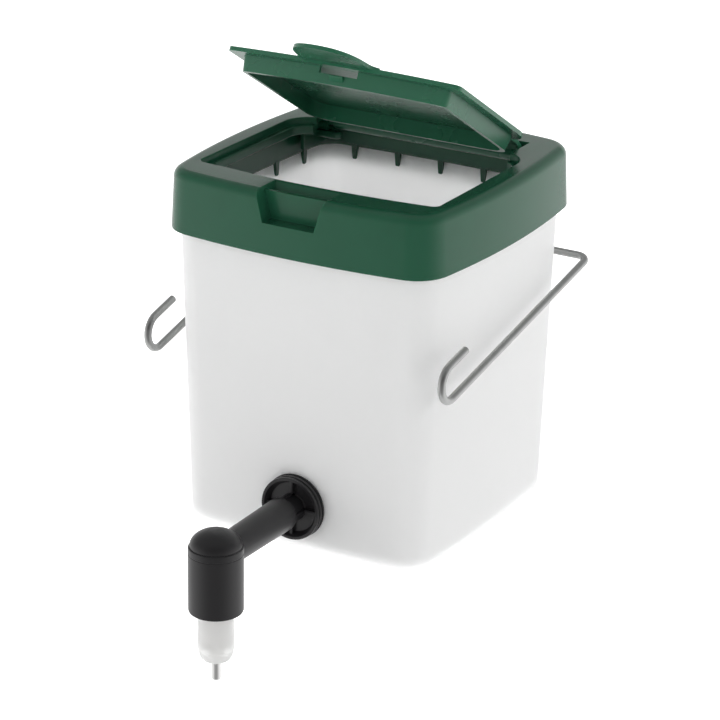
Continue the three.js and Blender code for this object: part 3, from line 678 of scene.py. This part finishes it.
# ---------------------------------------------------------------- nipple valve
def nipple():
    """Clear sleeve with the valve's core, seal, O-ring and trigger pin."""
    outer = [(2.1, -128.0), (3.55, -128.0)]
    for k in range(9):
        t = math.pi / 2 * k / 8
        outer.append((3.7 + 2.2 * math.sin(t), -124.2 - 3.75 * math.cos(t)))
    outer += [(5.95, -124.0), (6.15, -123.75), (6.15, -108.4), (6.55, -107.6), (6.55, -106.2),
              (5.7, -106.0), (5.7, -103.9), (6.55, -103.7), (6.55, -99.2), (4.9, -99.2), (4.9, -122.7),
              (2.1, -123.4), (2.1, -128.0)]
    sleeve = lathe("nipple_body", outer, NIPPLE_AXIS, "Z", 64)
    piece(sleeve, CLEAR, "spout", ["nipple_sleeve"])
    core = [(1.9, -122.4), (4.3, -122.4), (4.6, -121.8), (4.6, -121.2), (4.4, -121.0), (4.4, -119.8),
            (4.6, -119.6), (4.6, -114.4), (4.4, -114.2), (4.4, -113.4), (4.6, -113.2), (4.6, -112.5),
            (1.9, -112.5), (1.9, -122.4)]
    piece(lathe("core_body", core, NIPPLE_AXIS, "Z", 48), CORE, "spout", ["valve_core"])
    seal = [(1.9, -112.2), (4.4, -112.2), (4.6, -112.0), (4.6, -110.6), (4.4, -110.4), (1.9, -110.4),
            (1.9, -112.2)]
    valve = lathe("valve_ring", seal, NIPPLE_AXIS, "Z", 48)
    piece(valve, RED_RUBBER, "spout", ["valve_seal"])
    turns = [2 * math.pi * k / 16 for k in range(17)]
    ring = [(6.2 + 0.5 * math.cos(turn), -104.95 + 0.5 * math.sin(turn)) for turn in turns]
    piece(lathe("o_ring", ring, NIPPLE_AXIS, "Z", 48), RUBBER, "spout", ["nipple_o_ring"])
    pin = [(0, -135.7), (0.9, -135.65), (1.35, -135.45), (1.6, -135.1), (1.65, -134.7), (1.65, -110.1),
           (3.0, -110.1), (3.2, -109.9), (3.2, -108.9), (3.0, -108.7), (0.9, -108.7), (0.9, -107.7),
           (0.7, -107.5), (0, -107.5)]
    piece(lathe("pin_rod", pin, NIPPLE_AXIS, "Z", 40), STEEL, "trigger", ["trigger_pin"])


def spring_plate():
    """Disc over the spring, with four holes for the water."""
    low, high, hole_at = -100.0, -98.9, 2.6
    profile = [(0, low), (4.4, low), (4.6, low + 0.2), (4.6, high - 0.2), (4.4, high), (0, high)]
    plate = lathe("plate_disc", profile, NIPPLE_AXIS, "Z", 48)
    for k in range(4):
        angle = (k + 0.5) * math.pi / 2
        spot = (SPOUT_X + hole_at * math.cos(angle), ELBOW_Y + hole_at * math.sin(angle), 0)
        boolean(plate, lathe("hole", [(0, -101), (1, -101), (1, -98), (0, -98)], spot, "Z", 20))
    piece(plate, BLACK, "spout", ["spring_plate"])


# ---------------------------------------------------------------- wire hanger
def leg(slope):
    """One leg's upright plane, as a function of (along, up) about the hook's bend, and its rear end."""
    angle = math.radians(slope)
    along, up = Vector((math.cos(angle), math.sin(angle))), Vector((-math.sin(angle), math.cos(angle)))
    rear = Vector((REAR_Y - BEND, REAR_Z - BEND * math.tan(angle)))
    foot = rear - along * ((rear.x - HOOK_Y) / along.x)
    centre = foot + up * HOOK_R
    return (lambda a, b: centre + along * a + up * b), rear


def wire():
    """The hanger, from one hook along its leg, across the back and out to the other hook."""
    points = []
    for side, slope in ((1, 11.6), (-1, 14.3)):
        spot, rear = leg(slope)
        x = side * LEG_X
        path = [(x, *spot(HOOK_LEG * (1 - k / 4), HOOK_R)) for k in range(4)]
        path += [(x, *spot(-HOOK_R * math.sin(math.pi * k / 16), HOOK_R * math.cos(math.pi * k / 16)))
                 for k in range(17)]
        foot = spot(0, -HOOK_R)
        path += [(x, *(foot + (rear - foot) * (k / 14))) for k in range(1, 15)]
        drop = rear.y - REAR_Z
        for k in range(1, 7):
            t = math.pi / 2 * k / 6
            path.append((side * (LEG_X - BEND * (1 - math.cos(t))), REAR_Y - BEND * (1 - math.sin(t)),
                         REAR_Z + drop * (1 - math.sin(t))))
        points.append(path)
    right, left = points
    count = 20
    inner = LEG_X - BEND
    back = [(inner - 2 * inner * k / count, REAR_Y, REAR_Z) for k in range(1, count)]
    return sweep("hanger_wire", right + back + left[::-1], WIRE_R, 14)


def sweep(name, path, radius, sides):
    """Round tube along a path, with rounded ends, its rings carried without twist."""
    tip, taper = 0.25, 0.75               # length and end radius share of the rounded ends
    path = [Vector(p) for p in path]
    tangents = []
    for i in range(len(path)):
        a, b = path[max(i - 1, 0)], path[min(i + 1, len(path) - 1)]
        tangents.append((b - a).normalized())
    normal = tangents[0].orthogonal().normalized()
    rings = []

    def ring(p, n, b, r):
        return [tuple(p + (n * math.cos(2 * math.pi * k / sides) + b * math.sin(2 * math.pi * k / sides)) * r)
                for k in range(sides)]

    for i, (p, t) in enumerate(zip(path, tangents)):
        if i:
            normal = tangents[i - 1].rotation_difference(t) @ normal
        binormal = t.cross(normal)
        if i == 0:
            rings += [ring(p, normal, binormal, radius * taper), ring(p + t * tip, normal, binormal, radius)]
        elif i == len(path) - 1:
            rings += [ring(p - t * tip, normal, binormal, radius), ring(p, normal, binormal, radius * taper)]
        else:
            rings.append(ring(p, normal, binormal, radius))
    return loft(name, rings)


# ---------------------------------------------------------------- build
tank()
collar()
hatch()
spout()
elbow()
nipple()
spring_plate()
piece(wire(), ZINC, "hanger", ["wire_hanger"])
spring = frame["nodes"]["valve_spring"]
spring.data.materials.clear()
spring.data.materials.append(STEEL)

# ---------------------------------------------------------------- floor, light and camera
FLOOR_GAP, FLOOR_HALF = 0.035, 6          # metres
DIM_SIDE = (0.5, -0.87, 0)                # direction of the studio's dimmer side
SOFT_SIDES, SOFT_TOP = (1.85, 1.7), 0.3   # soft light: its bright and its dim side, and overhead's share
GLOSS_SIDES, GLOSS_TOP = (1.25, 0.35), 0.36   # the same for what glossy surfaces reflect
FLOOR_GLOW = (0.55, 0.8)                  # as a light, and as the camera sees it


def floor():
    z, far = CAD_BOX[0][2] - FLOOR_GAP, FLOOR_HALF
    mesh = bpy.data.meshes.new("floor")
    mesh.from_pydata([(-far, -far, z), (far, -far, z), (far, far, z), (-far, far, z)], [], [(0, 1, 2, 3)])
    obj = bpy.data.objects.new("floor", mesh)
    bpy.context.scene.collection.objects.link(obj)
    mat = shader("pale_floor", (0.93, 0.93, 0.93), 0.7, vary=0.004, blotch=400, Emission_Color=(1, 1, 1, 1),
                 Emission_Strength=FLOOR_GLOW[0])
    nodes, links = mat.node_tree.nodes, mat.node_tree.links
    path, glow = nodes.new("ShaderNodeLightPath"), nodes.new("ShaderNodeMapRange")
    glow.inputs["To Min"].default_value, glow.inputs["To Max"].default_value = FLOOR_GLOW
    links.new(path.outputs["Is Camera Ray"], glow.inputs["Value"])
    links.new(glow.outputs["Result"], nodes["Principled BSDF"].inputs["Emission Strength"])
    mesh.materials.append(mat)
    obj.visible_glossy = False


def area_light(name, place, target, size, power):
    data = bpy.data.lights.new(name, "AREA")
    data.shape = "SQUARE"
    data.size = size
    data.energy = power
    obj = bpy.data.objects.new(name, data)
    obj.location = place
    obj.rotation_euler = (Vector(target) - Vector(place)).to_track_quat("-Z", "Y").to_euler()
    bpy.context.scene.collection.objects.link(obj)
    obj.visible_glossy = False


def world():
    """Pale studio, dimmer overhead and on one side, more so where glossy surfaces reflect it."""
    made = bpy.data.worlds.new("studio")
    bpy.context.scene.world = made
    made.use_nodes = True
    nodes, links = made.node_tree.nodes, made.node_tree.links

    def node(kind, **inputs):
        new = nodes.new(kind)
        for name, value in inputs.items():
            new.inputs[name.replace("_", " ")].default_value = value
        return new

    def product(a, b):
        both = node("ShaderNodeMath")
        both.operation = "MULTIPLY"
        links.new(a, both.inputs[0])
        links.new(b, both.inputs[1])
        return both.outputs[0]

    def ramp(source, start, end, low, high):
        new = node("ShaderNodeMapRange", From_Min=start, From_Max=end, To_Min=low, To_Max=high)
        links.new(source, new.inputs["Value"])
        return new.outputs["Result"]

    def choose(factor, a, b=None):
        """a or b as the factor goes from 0 to 1; without b it is full white."""
        pick = node("ShaderNodeMix")
        links.new(factor, pick.inputs[0])
        links.new(a, pick.inputs[2])
        pick.inputs[3].default_value = 1.0
        if b:
            links.new(b, pick.inputs[3])
        return pick.outputs[0]

    coords, path = node("ShaderNodeTexCoord"), node("ShaderNodeLightPath")
    facing, split = node("ShaderNodeVectorMath"), node("ShaderNodeSeparateXYZ")
    facing.operation = "DOT_PRODUCT"
    facing.inputs[1].default_value = DIM_SIDE
    links.new(coords.outputs["Generated"], facing.inputs[0])
    links.new(coords.outputs["Generated"], split.inputs[0])
    side, up = facing.outputs["Value"], split.outputs["Z"]
    soft = product(ramp(side, -0.5, 1, *SOFT_SIDES), ramp(up, 0.05, 0.7, 1, SOFT_TOP))
    gloss = product(ramp(side, 0.2, 0.85, *GLOSS_SIDES), ramp(up, -0.1, 0.5, 1, GLOSS_TOP))
    mixed = choose(path.outputs["Is Glossy Ray"], soft, gloss)
    shown = choose(path.outputs["Is Camera Ray"], mixed)
    links.new(shown, nodes["Background"].inputs["Strength"])
    nodes["Background"].inputs["Color"].default_value = (1, 1, 1, 1)


def camera():
    yaw, pitch, roll = math.radians(30.11), math.radians(21.22), math.radians(0.88)
    back = Vector((math.sin(yaw) * math.cos(pitch), -math.cos(yaw) * math.cos(pitch), math.sin(pitch)))
    right = Vector((0, 0, 1)).cross(back).normalized()
    up = back.cross(right)
    turned_right = right * math.cos(roll) + up * math.sin(roll)
    turned_up = up * math.cos(roll) - right * math.sin(roll)
    data = bpy.data.cameras.new("camera")
    data.sensor_width = 36
    data.lens = 151.7
    data.clip_end = 20
    obj = bpy.data.objects.new("camera", data)
    turn = Matrix((turned_right, turned_up, back)).transposed().to_4x4()
    obj.matrix_world = Matrix.Translation(at(496.8, -863.3, 332.6)) @ turn
    bpy.context.scene.collection.objects.link(obj)
    bpy.context.scene.camera = obj


floor()
world()
camera()
area_light("key", (1.25, 0.2, 0.4), (0, 0.03, 0), 0.6, 2)
area_light("fill", (-0.7, -1.0, 0.15), (0, 0, -0.03), 0.8, 3)
bpy.context.scene.view_settings.view_transform = "Standard"
